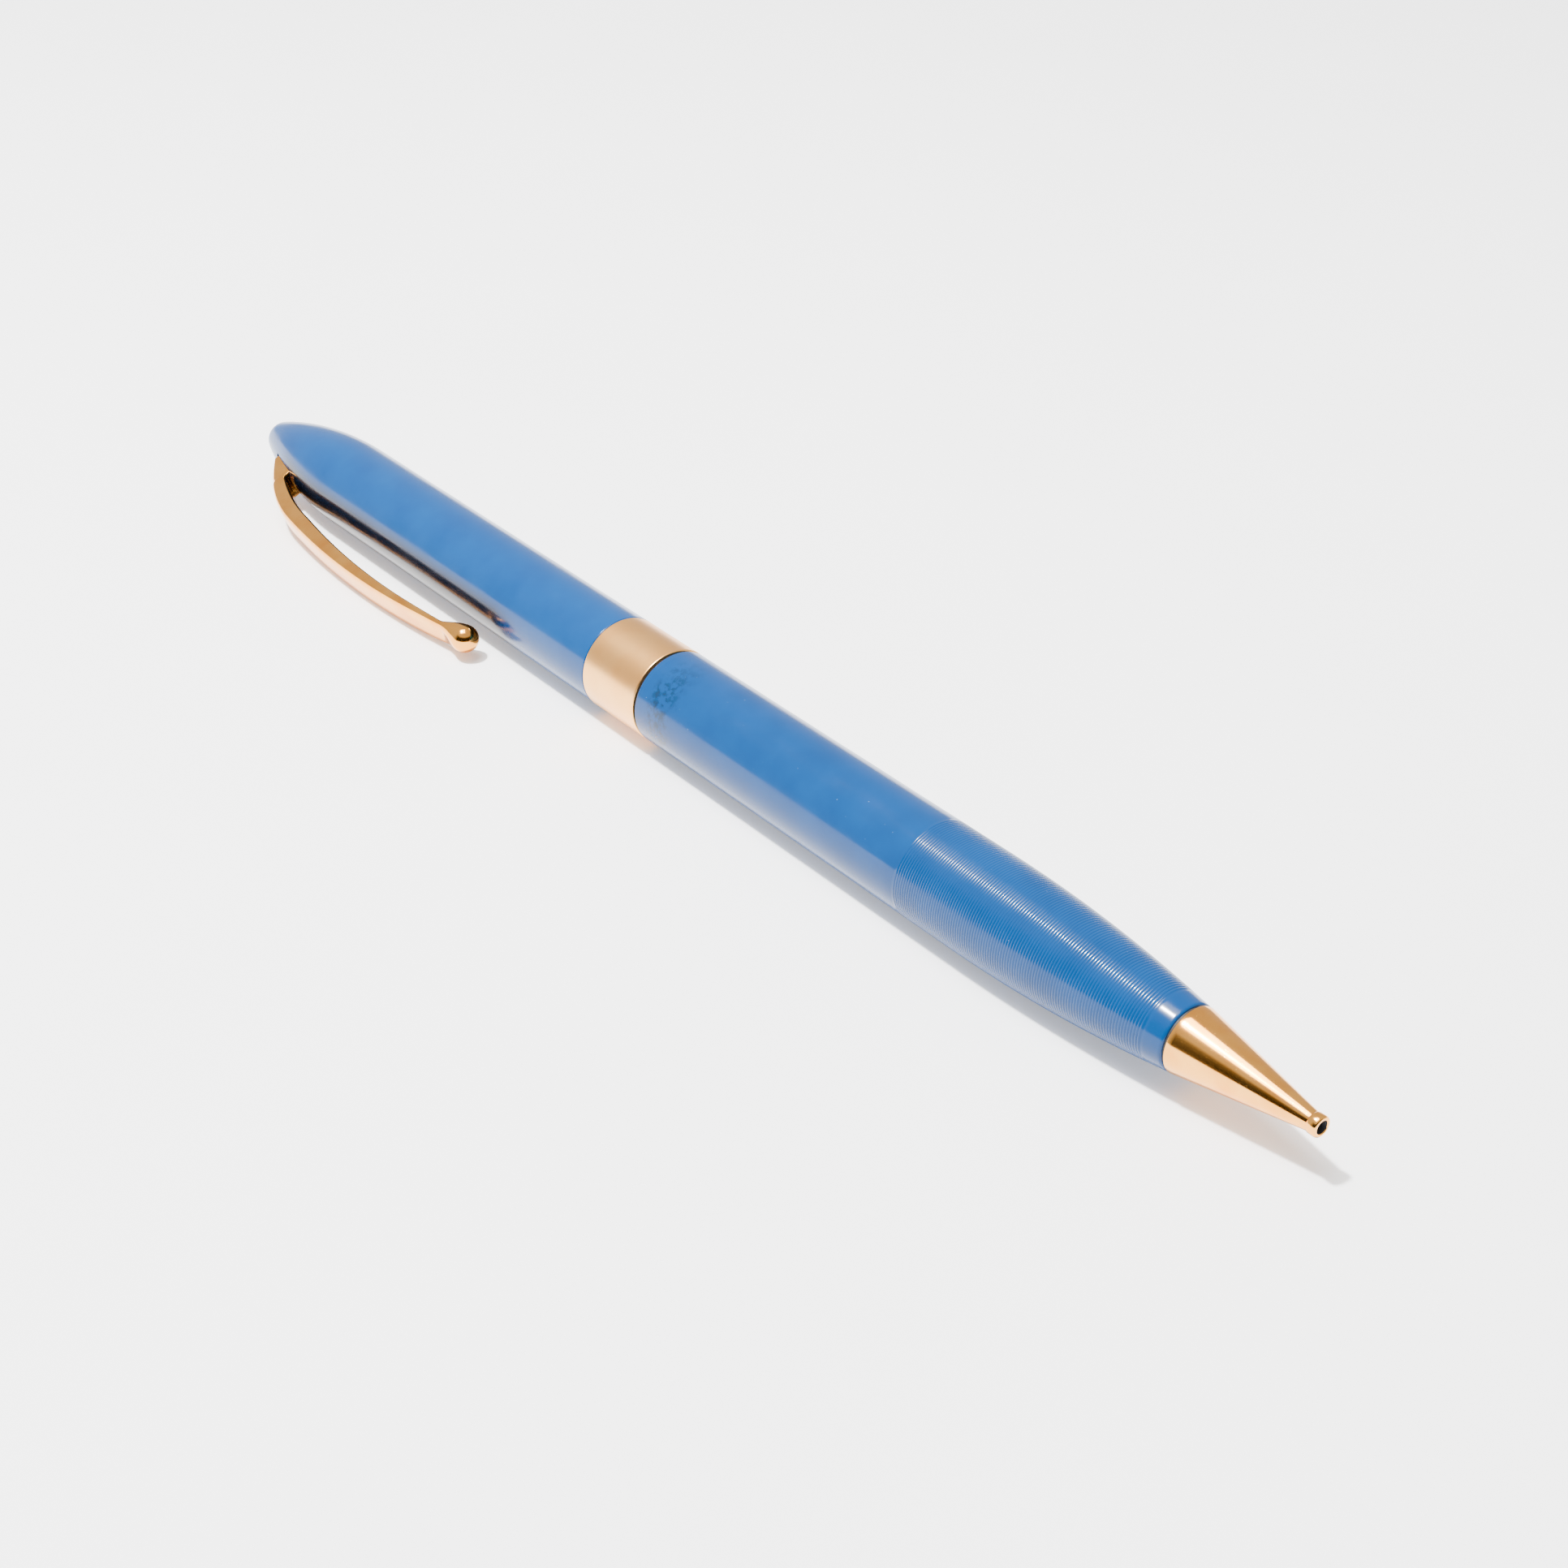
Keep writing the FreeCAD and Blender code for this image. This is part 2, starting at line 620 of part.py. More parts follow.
def lie_down():
    """Rolls the pencil until the rounded edge of the clip's arch is level with the barrel."""
    corner_high = bar.Shape.optimalBoundingBox(False).YMax - plain(d.clip_round)
    corner_side = plain(d.clip_width) / 2 - plain(d.clip_round)
    reach = math.hypot(corner_high, corner_side)
    roll = math.asin((plain(d.body_r) - plain(d.clip_round)) / reach) - math.atan2(
        corner_side, corner_high)
    far = (corner_high * math.cos(roll) + corner_side * math.sin(roll)
           + plain(d.clip_round))
    centre = FreeCAD.Vector(
        -plain(tip) / 2, (far - plain(d.body_r)) / 2, plain(d.body_r))
    return FreeCAD.Placement(centre, FreeCAD.Rotation(AXIS, 180 + math.degrees(roll)))


laid = lie_down()
for piece in pieces:
    piece.Placement = laid.multiply(piece.Placement)
doc.recompute()

for item in doc.Objects:
    if "Invalid" in item.State or "Error" in item.State:
        raise SystemExit("failed: %s %s" % (item.Name, item.State))
for piece in pieces:
    if piece.Shape.isNull() or not piece.Shape.isValid():
        raise SystemExit("bad shape: " + piece.Label)

os.makedirs("parts", exist_ok=True)
for piece in pieces:
    piece.Shape.exportStep("parts/%s.step" % piece.Label)
print("pieces", len(pieces), "roll", laid.Rotation.Angle, "moved", laid.Base)
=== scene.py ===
import json
import math

import bmesh
import bpy
from mathutils import Matrix, Vector


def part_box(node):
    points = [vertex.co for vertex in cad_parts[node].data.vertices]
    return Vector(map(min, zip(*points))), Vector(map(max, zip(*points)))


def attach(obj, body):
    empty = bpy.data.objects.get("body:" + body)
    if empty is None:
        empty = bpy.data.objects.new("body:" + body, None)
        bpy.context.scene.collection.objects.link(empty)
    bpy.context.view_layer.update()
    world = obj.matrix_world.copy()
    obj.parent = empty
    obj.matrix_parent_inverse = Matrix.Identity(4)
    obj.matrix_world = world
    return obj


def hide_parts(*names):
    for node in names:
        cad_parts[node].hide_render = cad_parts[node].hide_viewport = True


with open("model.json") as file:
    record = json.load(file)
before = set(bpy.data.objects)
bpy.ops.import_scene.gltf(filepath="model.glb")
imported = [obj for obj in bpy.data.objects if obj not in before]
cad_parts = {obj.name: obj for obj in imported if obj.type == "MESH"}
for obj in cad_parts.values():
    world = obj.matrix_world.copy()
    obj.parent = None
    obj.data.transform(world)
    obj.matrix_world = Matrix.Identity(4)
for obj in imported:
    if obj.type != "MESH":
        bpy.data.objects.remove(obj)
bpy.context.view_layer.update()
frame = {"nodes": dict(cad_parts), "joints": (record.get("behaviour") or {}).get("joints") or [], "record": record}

MM = 0.001
TAU = 2 * math.pi


# ---- places, read from the frame ----------------------------------------------------------

def low(node):
    return Vector(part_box(node)[0])


def high(node):
    return Vector(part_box(node)[1])


BARREL_LOW, BARREL_HIGH = low("barrel_shell"), high("barrel_shell")
BODY_R = (BARREL_HIGH.z - BARREL_LOW.z) / 2
AXIS = Vector((0, (BARREL_LOW.y + BARREL_HIGH.y) / 2, (BARREL_LOW.z + BARREL_HIGH.z) / 2))
SEAM_X = BARREL_LOW.x
NOSE_SEAM_X = BARREL_HIGH.x
TIP_X = high("nose_cone").x
CAP_X = low("cap_shell").x
BAND_X0, BAND_X1 = low("cap_band").x, high("cap_band").x
FLANGE_LEN = 0.2 * MM
NOSE_X = NOSE_SEAM_X + FLANGE_LEN
BORE_R = 2.7 * MM
FRONT_BORE_R, FRONT_BORE_LEN = 2.05 * MM, 14.7 * MM
JOINT_R = 2.6 * MM
TAPER_LEN = 20.4 * MM
BAND_SEAT_R = 3.6 * MM
SHARP_ANGLE = math.radians(50)
HINGE = next(j for j in frame["joints"] if j["name"] == "clip_swing")
HINGE_AXIS = Vector(HINGE["axis"])
OUTWARD = HINGE_AXIS.cross(Vector((1, 0, 0))).normalized()


# ---- node helpers --------------------------------------------------------------------------

def srgb(r, g, b):
    """A colour given as it looks on a screen, 0 to 255, in linear light."""
    def linear(c):
        c /= 255
        return c / 12.92 if c <= 0.04045 else ((c + 0.055) / 1.055) ** 2.4
    return (linear(r), linear(g), linear(b), 1)


class Nodes:
    """A material with short names for making and joining its nodes."""

    def __init__(self, name):
        self.material = bpy.data.materials.new(name)
        self.material.use_nodes = True
        self.tree = self.material.node_tree
        self.shader = self.tree.nodes["Principled BSDF"]
        self.place = self.make("ShaderNodeTexCoord").outputs["Object"]

    def make(self, kind, **settings):
        node = self.tree.nodes.new(kind)
        for key, value in settings.items():
            setattr(node, key, value)
        return node

    def join(self, output, target):
        self.tree.links.new(output, target)

    def noise(self, scale, detail=4.0, stretch=(1, 1, 1), rough=0.5):
        mapping = self.make("ShaderNodeMapping")
        mapping.inputs["Scale"].default_value = stretch
        self.join(self.place, mapping.inputs["Vector"])
        noise = self.make("ShaderNodeTexNoise")
        noise.inputs["Scale"].default_value = scale
        noise.inputs["Detail"].default_value = detail
        noise.inputs["Roughness"].default_value = rough
        self.join(mapping.outputs["Vector"], noise.inputs["Vector"])
        return noise.outputs["Fac"]

    def remap(self, value, lo, hi, to_lo, to_hi):
        node = self.make("ShaderNodeMapRange")
        self.join(value, node.inputs["Value"])
        for key, number in (("From Min", lo), ("From Max", hi), ("To Min", to_lo),
                            ("To Max", to_hi)):
            node.inputs[key].default_value = number
        return node.outputs["Result"]

    def mix(self, share, a, b):
        node = self.make("ShaderNodeMix", data_type="RGBA")
        if hasattr(share, "is_linked"):
            self.join(share, node.inputs["Factor"])
        else:
            node.inputs["Factor"].default_value = share
        for key, colour in (("A", a), ("B", b)):
            socket = [s for s in node.inputs if s.name == key and s.type == "RGBA"][0]
            if isinstance(colour, tuple):
                socket.default_value = colour
            else:
                self.join(colour, socket)
        return [s for s in node.outputs if s.type == "RGBA"][0]

    def maths(self, operation, a, b):
        node = self.make("ShaderNodeMath", operation=operation)
        for socket, value in zip(node.inputs, (a, b)):
            if isinstance(value, (int, float)):
                socket.default_value = value
            else:
                self.join(value, socket)
        return node.outputs["Value"]

    def split(self):
        node = self.make("ShaderNodeSeparateXYZ")
        self.join(self.place, node.inputs["Vector"])
        return node.outputs

    def along(self, vector, direction):
        """How far a vector reaches in a fixed direction."""
        node = self.make("ShaderNodeVectorMath", operation="DOT_PRODUCT")
        self.join(vector, node.inputs[0])
        node.inputs[1].default_value = direction
        return node.outputs["Value"]

    def bump(self, height, strength, distance):
        node = self.make("ShaderNodeBump")
        node.inputs["Strength"].default_value = strength
        node.inputs["Distance"].default_value = distance
        self.join(height, node.inputs["Height"])
        self.join(node.outputs["Normal"], self.shader.inputs["Normal"])


# ---- materials -----------------------------------------------------------------------------

def blue_plastic(name, colour, deep, marks_and_shade):
    """Glossy moulded plastic: slightly uneven colour, marks from the given function (real handling marks on the
    barrel, painted shade and reflection of the clip on the cap), handling haze and hairlines.
    """
    n = Nodes(name)
    cloud = n.remap(n.noise(260, 3), 0.3, 0.7, 0, 1)
    n.join(marks_and_shade(n, n.mix(cloud, colour, deep)), n.shader.inputs["Base Color"])
    haze = n.remap(n.noise(900, 5, (0.25, 1, 1)), 0.35, 0.75, 0.13, 0.26)
    n.join(haze, n.shader.inputs["Roughness"])
    n.shader.inputs["Coat Weight"].default_value = 0.05
    n.shader.inputs["Coat Roughness"].default_value = 0.06
    n.shader.inputs["Specular IOR Level"].default_value = 0.24
    n.shader.inputs["IOR"].default_value = 1.5
    scratches = n.noise(2600, 3, (0.06, 1, 1))
    n.bump(n.remap(scratches, 0.62, 0.8, 0, 1), 0.04, 0.01 * MM)
    return n.material


def smudge(n, base):
    """A patch of dark handling marks just in front of the band, and specks of grime."""
    place = n.split()
    start, end = SEAM_X + 1.2 * MM, SEAM_X + 5.0 * MM
    rise = n.remap(place["X"], start, start + 0.8 * MM, 0, 1)
    fall = n.remap(place["X"], end - 1.4 * MM, end, 1, 0)
    spots = n.remap(n.noise(1500, 5, (1, 1, 1), 0.7), 0.46, 0.58, 0, 1)
    side = n.remap(place["Y"], AXIS.y - 3.0 * MM, AXIS.y + 1.0 * MM, 1, 0)
    patch = n.maths("MULTIPLY", n.maths("MULTIPLY", rise, fall), n.maths("MULTIPLY", spots, side))
    specks = n.remap(n.noise(3800, 2), 0.76, 0.8, 0, 1)
    marked = n.mix(n.maths("MULTIPLY", patch, 0.9), base, srgb(10, 38, 62))
    return n.mix(n.maths("MULTIPLY", specks, 0.5), marked, srgb(110, 145, 180))


def painted_clip_shade(n, base):
    """Painted shade and reflection: a near-black strip along the cap where it faces the clip, for the clip's
    shadow and the dark reflection of its underside.
    """
    place = n.split()
    offset = n.make("ShaderNodeVectorMath", operation="SUBTRACT")
    n.join(n.place, offset.inputs[0])
    offset.inputs[1].default_value = AXIS
    across = n.along(offset.outputs["Vector"], HINGE_AXIS)
    facing = n.remap(n.along(offset.outputs["Vector"], OUTWARD), 1.4 * MM, 2.6 * MM, 0, 1)
    narrow = n.remap(n.maths("ABSOLUTE", across, 0.0), 1.9 * MM, 2.8 * MM, 1, 0)
    rise = n.remap(place["X"], CAP_X + 6.5 * MM, CAP_X + 9.0 * MM, 0, 1)
    fall = n.remap(place["X"], CAP_X + 45.5 * MM, CAP_X + 49.0 * MM, 1, 0)
    strip = n.maths("MULTIPLY", n.maths("MULTIPLY", facing, narrow),
                    n.maths("MULTIPLY", rise, fall))
    # Mixes in near-black as painted shade and painted reflection of the clip.
    return n.mix(n.maths("MULTIPLY", strip, 0.94), base, srgb(5, 8, 14))


def metal(name, colour, worn, rough, turning=0.0, pits=0.0):
    """Plated or plain metal with uneven tone, turning lines along the lathe and fine pits."""
    n = Nodes(name)
    patch = n.remap(n.noise(420, 4), 0.4, 0.72, 0, 1)
    n.join(n.mix(patch, colour, worn), n.shader.inputs["Base Color"])
    n.shader.inputs["Metallic"].default_value = 1.0
    scuff = n.noise(16000, 2)
    n.join(n.remap(scuff, 0.3, 0.75, rough * 0.95, rough * 1.08), n.shader.inputs["Roughness"])
    lines = n.noise(9000, 2, (1, 0.01, 0.01))
    holes = n.remap(n.noise(5200, 2), 0.68, 0.78, 0, 1)
    height = n.maths("SUBTRACT", n.maths("MULTIPLY", lines, turning),
                     n.maths("MULTIPLY", holes, pits))
    n.bump(height, 0.35, 0.012 * MM)
    return n.material


def rubber():
    """Dull eraser rubber, rubbed grey towards its end."""
    n = Nodes("eraser_rubber")
    top = low("eraser").x
    used = n.remap(n.split()["X"], top, top + 2.5 * MM, 1, 0)
    smear = n.remap(n.noise(1500, 5), 0.35, 0.65, 0, 1)
    n.join(n.mix(n.maths("MULTIPLY", used, smear), srgb(205, 96, 88), srgb(92, 74, 74)),
           n.shader.inputs["Base Color"])
    n.join(n.remap(smear, 0, 1, 0.72, 0.92), n.shader.inputs["Roughness"])
    n.bump(n.noise(4200, 5), 0.5, 0.03 * MM)
    return n.material


def graphite():
    """Grey lead with a fine grain along its length."""
    n = Nodes("graphite")
    grain = n.noise(6000, 4, (0.3, 1, 1))
    n.join(n.mix(n.remap(grain, 0.3, 0.7, 0, 1), srgb(44, 44, 47), srgb(70, 70, 74)),
           n.shader.inputs["Base Color"])
    n.join(n.remap(grain, 0.3, 0.7, 0.32, 0.5), n.shader.inputs["Roughness"])
    n.shader.inputs["Metallic"].default_value = 0.35
    n.bump(grain, 0.25, 0.01 * MM)
    return n.material


def black_seam_and_shade():
    """The near-black, slightly dusty plastic of the seam rings, which also stand for the shade in the seam gaps;
    it is painted shade as well inside the nose's bore and on the brass insert.
    """
    n = Nodes("seam_black")
    dust = n.remap(n.noise(3000, 4), 0.45, 0.7, 0, 1)
    n.join(n.mix(dust, srgb(14, 15, 18), srgb(34, 34, 37)), n.shader.inputs["Base Color"])
    n.join(n.remap(dust, 0, 1, 0.55, 0.8), n.shader.inputs["Roughness"])
    n.bump(dust, 0.2, 0.01 * MM)
    return n.material


# The cap's blue carries the clip's painted shade and reflection.
CAP_BLUE = blue_plastic("cap_blue", srgb(0, 62, 115), srgb(0, 56, 108), painted_clip_shade)
BARREL_BLUE = blue_plastic("barrel_blue", srgb(0, 58, 110), srgb(0, 52, 101), smudge)
GOLD = metal("gold_plate", srgb(252, 178, 84), srgb(238, 156, 64), 0.13, 0.12, 0.8)
BAND_GOLD = metal("band_gold", srgb(255, 190, 112), srgb(250, 180, 100), 0.3, 0.0, 0.0)
BRASS = metal("inner_brass", srgb(205, 170, 98), srgb(176, 138, 70), 0.28, 1.0, 0.2)
STEEL = metal("inner_steel", srgb(188, 190, 194), srgb(160, 162, 166), 0.26, 1.0, 0.1)
# Black seam plastic, also used as painted shade.
BLACK = black_seam_and_shade()
SLOT_MATERIAL = {"inner_brass": BRASS, "inner_steel": STEEL, "seam_black": BLACK,
                 "eraser_rubber": rubber(), "graphite": graphite(), "gold_plate": GOLD,
                 "cap_blue": CAP_BLUE, "barrel_blue": BARREL_BLUE}


# ---- mesh helpers --------------------------------------------------------------------------

def finish_piece(name, mesh, material, body, node):
    """Makes an object of a mesh and fixes it to its body in place of a CAD node."""
    piece = bpy.data.objects.new(name, mesh)
    bpy.context.scene.collection.objects.link(piece)
    mesh.materials.append(material)
    for face in mesh.polygons:
        face.use_smooth = True
    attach(piece, body)
    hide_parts(node)
    return piece


def lathe(profile, count, closed=True):
    """A mesh turned about the pencil's axis from (x, radius) points in metres.

    A point of radius zero is a single vertex. A closed profile also joins its last point to
    its first.
    """
    mesh = bpy.data.meshes.new("lathe")
    bm = bmesh.new()
    rings = []
    for x, r in profile:
        if r <= 0:
            rings.append([bm.verts.new(AXIS + Vector((x, 0, 0)))])
            continue
        rings.append([bm.verts.new(AXIS + Vector((x, r * math.cos(a), r * math.sin(a))))
                      for a in (TAU * k / count for k in range(count))])
    pairs = list(zip(rings, rings[1:])) + ([(rings[-1], rings[0])] if closed else [])
    for one, two in pairs:
        if len(one) == 1 and len(two) == 1:
            continue
        for k in range(count):
            m = (k + 1) % count
            corners = [one[k % len(one)], one[m % len(one)], two[m % len(two)],
                       two[k % len(two)]]
            bm.faces.new(list(dict.fromkeys(corners)))
    bmesh.ops.recalc_face_normals(bm, faces=bm.faces)
    bm.to_mesh(mesh)
    bm.free()
    return mesh


def rounded(x0, r0, x1, r1, steps=4):
    """Points of a quarter-round corner from (x0, r0) to (x1, r1), starting along the radius."""
    points = []
    for k in range(steps + 1):
        a = TAU / 4 * k / steps
        points.append((x0 + (x1 - x0) * (1 - math.cos(a)), r0 + (r1 - r0) * math.sin(a)))
    return points


def sharpen(piece):
    """Keeps edges sharper than SHARP_ANGLE as edges in the shading."""
    piece.data.set_sharp_from_angle(angle=SHARP_ANGLE)


# ---- barrel ---------------------------------------------------------------------------------

def barrel_radius(x):
    """The barrel's outer radius: a cylinder, then one arc tangent to it down to the nose."""
    run = x - (NOSE_SEAM_X - TAPER_LEN)
    if run <= 0:
        return BODY_R
    drop = BODY_R - JOINT_R
    arc = (TAPER_LEN ** 2 + drop ** 2) / (2 * drop)
    return BODY_R - arc + math.sqrt(arc ** 2 - run ** 2)


def barrel():
    """The barrel's skin with about a hundred fine turned rings towards the nose.

    One ring is given as (share of the pitch, share of the depth) points.
    """
    ring_start, ring_end = SEAM_X + 32.2 * MM, NOSE_SEAM_X - 1.6 * MM
    pitch, depth = 0.24 * MM, 0.03 * MM
    ring = ((0.0, 0.35), (0.18, 0.0), (0.5, 0.0), (0.68, 0.35), (0.84, 1.0))
    soft, step = 0.09 * MM, 1.0 * MM
    profile = [(SEAM_X, BORE_R)] + rounded(SEAM_X, BODY_R - soft, SEAM_X + soft, BODY_R)
    profile += [(SEAM_X + soft + 0.05 * MM, BODY_R), (SEAM_X + soft + 0.2 * MM, BODY_R)]
    x = SEAM_X + step
    while x < ring_start:
        profile.append((x, BODY_R))
        x += step
    count = round((ring_end - ring_start) / pitch)
    for k in range(count):
        start = ring_start + k * pitch
        for share, sink in ring:
            at = start + share * pitch
            profile.append((at, barrel_radius(at) - depth * sink))
    steps = 8
    for k in range(steps + 1):
        at = ring_end + (NOSE_SEAM_X - soft - ring_end) * k / steps
        profile.append((at, barrel_radius(at)))
    bore_step = NOSE_SEAM_X - FRONT_BORE_LEN
    profile += [(NOSE_SEAM_X, JOINT_R - soft), (NOSE_SEAM_X, FRONT_BORE_R),
                (bore_step, FRONT_BORE_R), (bore_step, BORE_R)]
    piece = finish_piece("barrel_skin", lathe(profile, 144), BARREL_BLUE, "barrel",
                         "barrel_shell")
    sharpen(piece)


def nose():
    """The plated cone: a straight taper, a small raised rim and a bore painted black as painted shade."""
    rim_r, neck_r, mouth_r = 0.8 * MM, 0.74 * MM, 0.5 * MM
    neck_x, soft = TIP_X - 0.9 * MM, 0.06 * MM
    shank_x, shank_r, sleeve_r = NOSE_X - 8.2 * MM, 1.75 * MM, 1.05 * MM
    mouth_x = TIP_X - 5.6 * MM
    profile = [(shank_x, sleeve_r), (shank_x, shank_r), (NOSE_X, shank_r)]
    profile += rounded(NOSE_X, JOINT_R - soft, NOSE_X + soft, JOINT_R)
    steps = 28
    for k in range(1, steps + 1):
        share = k / steps
        profile.append((NOSE_X + soft + (neck_x - NOSE_X - soft) * share,
                        JOINT_R + (neck_r - JOINT_R) * share))
    profile += [(neck_x + 0.08 * MM, neck_r - 0.02 * MM), (neck_x + 0.14 * MM, rim_r - 0.03 * MM),
                (neck_x + 0.22 * MM, rim_r), (TIP_X - 0.16 * MM, rim_r),
                (TIP_X - 0.05 * MM, rim_r - 0.05 * MM), (TIP_X, rim_r - 0.14 * MM),
                (TIP_X, mouth_r + 0.05 * MM), (TIP_X - 0.05 * MM, mouth_r),
                (mouth_x, mouth_r), (mouth_x, sleeve_r)]
    piece = finish_piece("nose_cone_skin", lathe(profile, 128), GOLD, "barrel",
                         "nose_cone")
    # Painted shade: the faces inside the mouth get the black material.
    piece.data.materials.append(BLACK)
    for face in piece.data.polygons:
        spread = face.center - AXIS
        if math.hypot(spread.y, spread.z) < mouth_r + 0.02 * MM:
            face.material_index = 1
    sharpen(piece)


# ---- cap ------------------------------------------------------------------------------------

def cap_outline():
    """The cap's outside: a small nose arc, a long side arc, then the cylinder."""
    nose_r, dome = 1.8 * MM, 15.4 * MM
    side = dome - nose_r
    arc = (side ** 2 + BODY_R ** 2 - nose_r ** 2) / (2 * (BODY_R - nose_r))
    turn = math.acos((arc - BODY_R) / (arc - nose_r))
    points = [(CAP_X, 0.0)]
    steps = 14
    for k in range(1, steps + 1):
        a = (TAU / 4 - turn) * k / steps
        points.append((CAP_X + nose_r * (1 - math.cos(a)), nose_r * math.sin(a)))
    steps = 36
    for k in range(1, steps + 1):
        a = turn * (1 - k / steps)
        points.append((CAP_X + dome - arc * math.sin(a), BODY_R - arc + arc * math.cos(a)))
    step = 1.5 * MM
    x = CAP_X + dome + step
    while x < BAND_X0 - 1.0 * MM:
        points.append((x, BODY_R))
        x += step
    return points


def cap():
    """The cap's shell with its clip window cut through the dome."""
    bore_r, bore_x = 3.0 * MM, CAP_X + 13.0 * MM
    block_r, block_x = 1.9 * MM, CAP_X + 4.0 * MM
    soft = 0.06 * MM
    points = cap_outline()
    points += [(BAND_X0 - 0.3 * MM, BODY_R), (BAND_X0 - 0.12 * MM, BODY_R),
               (BAND_X0 - soft, BODY_R), (BAND_X0, BODY_R - soft),
               (BAND_X0, BAND_SEAT_R), (BAND_X1, BAND_SEAT_R), (BAND_X1, bore_r),
               (bore_x, bore_r), (bore_x, block_r), (block_x, block_r), (block_x, 0.0)]
    piece = finish_piece("cap_skin", lathe(points, 160, closed=False), CAP_BLUE, "cap",
                         "cap_shell")
    cut_window(piece)
    sharpen(piece)


def cut_window(piece):
    """Cuts the slot that the clip comes out of, then drops the cutter."""
    bm = bmesh.new()
    bmesh.ops.create_cube(bm, size=1.0)
    mesh = bpy.data.meshes.new("window_cutter")
    bm.to_mesh(mesh)
    bm.free()
    cutter = bpy.data.objects.new("window_cutter", mesh)
    bpy.context.scene.collection.objects.link(cutter)
    x0, x1 = CAP_X + 4.95 * MM, CAP_X + 8.5 * MM
    reach0, reach1, width = 0.6 * MM, 8.2 * MM, 3.0 * MM
    basis = Matrix((Vector((1, 0, 0)), OUTWARD, HINGE_AXIS)).transposed().to_4x4()
    size = Matrix.Diagonal((x1 - x0, reach1 - reach0, width, 1))
    middle = AXIS + Vector(((x0 + x1) / 2, 0, 0)) + OUTWARD * (reach0 + reach1) / 2
    cutter.matrix_world = Matrix.Translation(middle) @ basis @ size
    cut = piece.modifiers.new("window", "BOOLEAN")
    cut.operation = "DIFFERENCE"
    cut.solver = "EXACT"
    cut.object = cutter
    bpy.context.view_layer.update()
    shaped = bpy.data.meshes.new_from_object(
        piece.evaluated_get(bpy.context.evaluated_depsgraph_get()))
    piece.modifiers.clear()
    piece.data = shaped
    bpy.data.objects.remove(cutter)


def band():
    """The gold band, a plain ring with softened ends."""
    soft, steps = 0.1 * MM, 14
    profile = [(BAND_X0, BAND_SEAT_R)]
    profile += rounded(BAND_X0, BODY_R - soft, BAND_X0 + soft, BODY_R)
    inside = soft + 0.05 * MM
    profile.append((BAND_X0 + inside, BODY_R))
    for k in range(1, steps):
        profile.append((BAND_X0 + (BAND_X1 - BAND_X0) * k / steps, BODY_R))
    profile.append((BAND_X1 - inside, BODY_R))
    edge = rounded(BAND_X1, BODY_R - soft, BAND_X1 - soft, BODY_R)
    profile += edge[::-1] + [(BAND_X1, BAND_SEAT_R)]
    piece = finish_piece("band_skin", lathe(profile, 144), BAND_GOLD, "cap",
                         "cap_band")
    sharpen(piece)


# ---- clip -----------------------------------------------------------------------------------

# In millimetres: x from the cap's end, heights out from the axis. An arc is given as
# (x0, height0, x1, height1, radius).
CLIP_X, SHOULDER_X, NECK_X = 5.4, 8.4, 41.0
TOP_REAR, TOP_FRONT = (CLIP_X, 3.2, 14.5, 7.35, 17.7), (14.5, 7.35, 43.6, 6.95, 96.0)
UNDER_REAR, UNDER_FRONT = (SHOULDER_X, 3.7, 16.5, 5.95, 24.0), (16.5, 5.95, 43.6, 6.5, 102.0)
ROOT_UNDER = 2.1
BALL_X, BALL_HEIGHT, BALL_R = 43.6, 6.4, 1.25
HALF_WIDTH = 1.4
SIDE_POWER, OUTER_POWER, INNER_POWER = 0.42, 0.42, 0.3


def arc_height(x, x0, h0, x1, h1, radius):
    """The height at x of an arc of that radius that bulges outward between two points."""
    chord = math.hypot(x1 - x0, h1 - h0)
    lift = math.sqrt(radius ** 2 - (chord / 2) ** 2)
    cx = (x0 + x1) / 2 + lift * (h1 - h0) / chord
    ch = (h0 + h1) / 2 - lift * (x1 - x0) / chord
    return ch + math.sqrt(max(radius ** 2 - (x - cx) ** 2, 0))


def clip_top(x):
    return arc_height(x, *(TOP_REAR if x <= TOP_FRONT[0] else TOP_FRONT))


def clip_under(x):
    if x <= SHOULDER_X:
        return ROOT_UNDER
    return arc_height(x, *(UNDER_REAR if x <= UNDER_FRONT[0] else UNDER_FRONT))


def bench(x, height, side):
    """A point given in millimetres from the cap's end, out from the axis and across."""
    return (AXIS + Vector((CAP_X + x * MM, 0, 0)) + OUTWARD * height * MM
            + HINGE_AXIS * side * MM)


def clip_loop(x, half_width, top, bottom, round_share=0.0):
    """A rounded section across the clip, fuller on its inner face, or round at share 1."""
    points = []
    count = 28
    middle, half = (top + bottom) / 2, (top - bottom) / 2
    for k in range(count):
        a = TAU * k / count
        c, s = math.cos(a), math.sin(a)
        power = OUTER_POWER if s > 0 else INNER_POWER
        power += (1 - power) * round_share
        side_power = SIDE_POWER + (1 - SIDE_POWER) * round_share
        side = half_width * math.copysign(abs(c) ** side_power, c)
        points.append(bench(x, middle + half * math.copysign(abs(s) ** power, s), side))
    return points


def ball_loops():
    """Sections that swell from the strip into the round ball at its end."""
    loops = []
    steps = 14
    for k in range(1, steps + 1):
        share = k / steps
        blend = share * share * (3 - 2 * share)
        x = NECK_X + (BALL_X - NECK_X) * share
        top = clip_top(x) + (BALL_HEIGHT + BALL_R - clip_top(x)) * blend
        bottom = clip_under(x) + (BALL_HEIGHT - BALL_R - clip_under(x)) * blend
        loops.append(clip_loop(x, BALL_R, top, bottom, blend))
    for k in range(1, steps):
        a = TAU / 4 * k / steps
        ring = BALL_R * math.cos(a)
        loops.append(clip_loop(BALL_X + BALL_R * math.sin(a), ring, BALL_HEIGHT + ring,
                               BALL_HEIGHT - ring, 1.0))
    return loops


